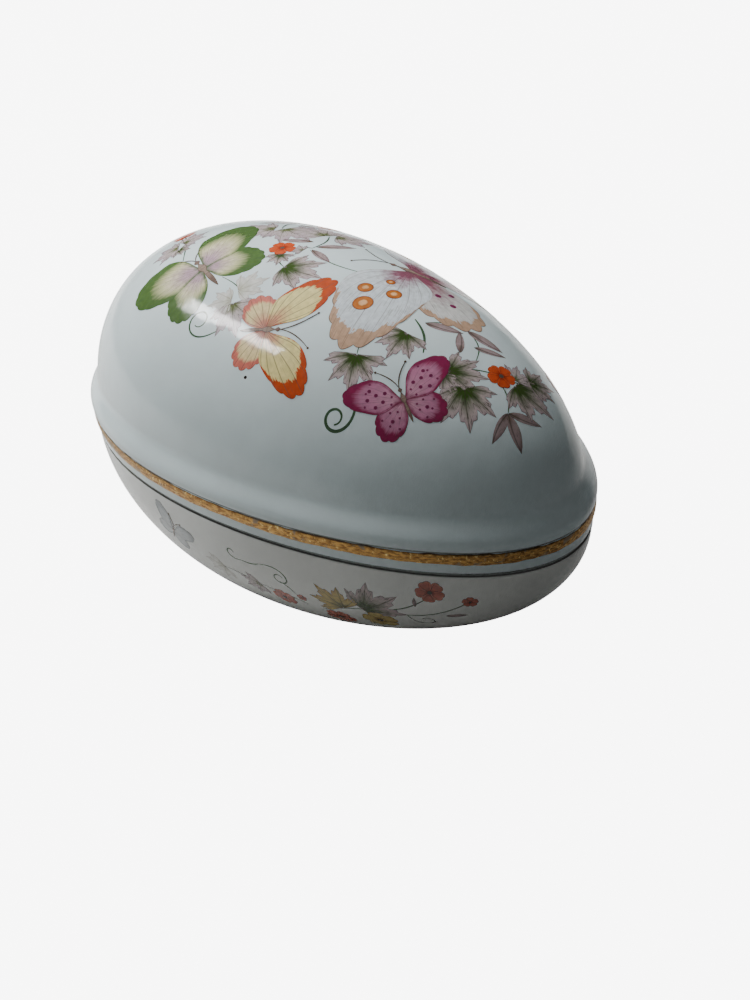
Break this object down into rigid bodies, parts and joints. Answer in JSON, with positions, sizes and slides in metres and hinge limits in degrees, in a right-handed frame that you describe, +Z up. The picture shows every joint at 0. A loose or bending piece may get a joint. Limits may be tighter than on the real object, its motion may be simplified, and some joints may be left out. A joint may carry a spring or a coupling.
{
  "type": "egg trinket box",
  "caption": "Egg-shaped porcelain box lying on its side, with a footed base bowl, a loose domed lid that lifts off, a gilt rim band and printed butterflies and flowers.",
  "frame": {"origin": "on the table, under the middle of the egg's length and width", "axes": "+X towards the narrow end, +Y across to the left when looking along +X, +Z up, the way the lid lifts off"},
  "size_m": [0.14, 0.0824, 0.0803],
  "materials": {
    "porcelain_base": "clear gloss glaze over white porcelain, bare biscuit on the foot ring and the collar's top",
    "porcelain_lid": "clear gloss glaze over white porcelain",
    "gilding": "worn bright gold brushed round the rim",
    "enamel_print": "glossy overglaze enamel print"
  },
  "bodies": {
    "base": {"base": "porcelain_base"},
    "lid": {"lid": "porcelain_lid"}
  },
  "joints": [
    {"name": "lid_lift", "type": "slide", "parent": "base", "child": "lid", "axis": [0, 0, 1], "range_m": [0, 0.08]}
  ]
}
